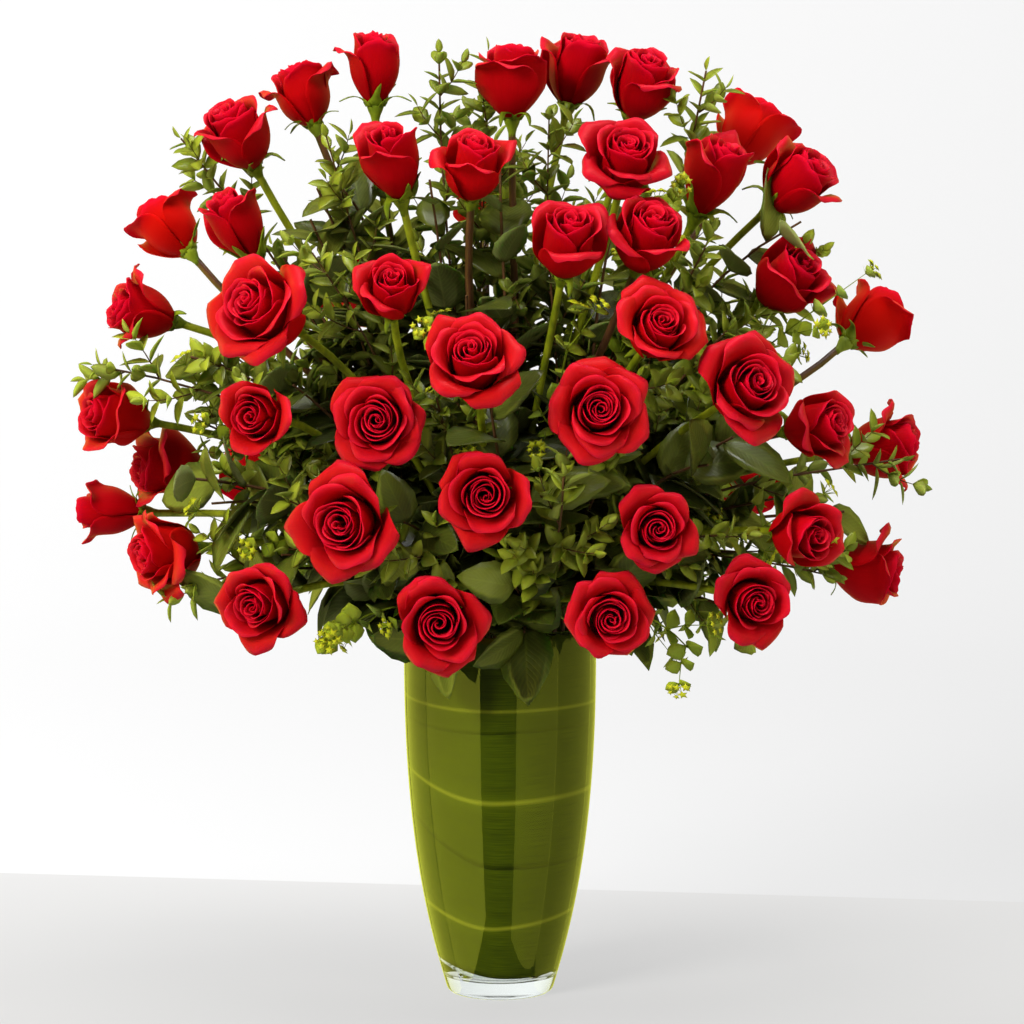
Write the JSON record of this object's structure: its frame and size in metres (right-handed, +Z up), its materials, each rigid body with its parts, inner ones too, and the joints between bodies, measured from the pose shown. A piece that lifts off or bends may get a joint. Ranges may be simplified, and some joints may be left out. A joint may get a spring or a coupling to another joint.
{
  "type": "rose arrangement in vase",
  "caption": "Tall fan-shaped arrangement of long-stemmed red roses with mixed greenery in a clear tapered glass vase lined with broad green leaves.",
  "frame": {"origin": "centre of the vase's flat underside", "axes": "+Z up along the vase's axis; the arrangement's front faces -Y and its width runs along X"},
  "size_m": [0.6845, 0.4855, 0.7773],
  "materials": {
    "vase_glass": "polished clear",
    "lining_leaf": "satin leaf, fine parallel veins",
    "rose_flower": "velvety petals",
    "myrtle_green": "glossy small leaves on woody twigs",
    "broad_leaf_green": "semi-gloss leaves on woody stems"
  },
  "bodies": {
    "root": {"glass_vase": "vase_glass", "lining_leaf_1": "lining_leaf", "lining_leaf_2": "lining_leaf", "lining_leaf_3": "lining_leaf", "rose_01": "rose_flower", "rose_02": "rose_flower", "rose_03": "rose_flower", "rose_04": "rose_flower", "rose_05": "rose_flower", "rose_06": "rose_flower", "rose_07": "rose_flower", "rose_08": "rose_flower", "rose_09": "rose_flower", "rose_10": "rose_flower", "rose_11": "rose_flower", "rose_12": "rose_flower", "rose_13": "rose_flower", "rose_14": "rose_flower", "rose_15": "rose_flower", "rose_16": "rose_flower", "rose_17": "rose_flower", "rose_18": "rose_flower", "rose_19": "rose_flower", "rose_20": "rose_flower", "rose_21": "rose_flower", "rose_22": "rose_flower", "rose_23": "rose_flower", "rose_24": "rose_flower", "rose_25": "rose_flower", "rose_26": "rose_flower", "rose_27": "rose_flower", "rose_28": "rose_flower", "rose_29": "rose_flower", "rose_30": "rose_flower", "rose_31": "rose_flower", "rose_32": "rose_flower", "rose_33": "rose_flower", "rose_34": "rose_flower", "rose_35": "rose_flower", "rose_36": "rose_flower", "rose_37": "rose_flower", "rose_38": "rose_flower", "rose_39": "rose_flower", "rose_40": "rose_flower", "rose_41": "rose_flower", "rose_42": "rose_flower", "rose_43": "rose_flower", "rose_44": "rose_flower", "rose_45": "rose_flower", "rose_46": "rose_flower", "rose_47": "rose_flower", "rose_48": "rose_flower", "myrtle_sprig_1": "myrtle_green", "myrtle_sprig_2": "myrtle_green", "myrtle_sprig_3": "myrtle_green", "myrtle_sprig_4": "myrtle_green", "broad_sprig_1": "broad_leaf_green", "broad_sprig_2": "broad_leaf_green", "broad_sprig_3": "broad_leaf_green", "broad_sprig_4": "broad_leaf_green"}
  },
  "joints": []
}
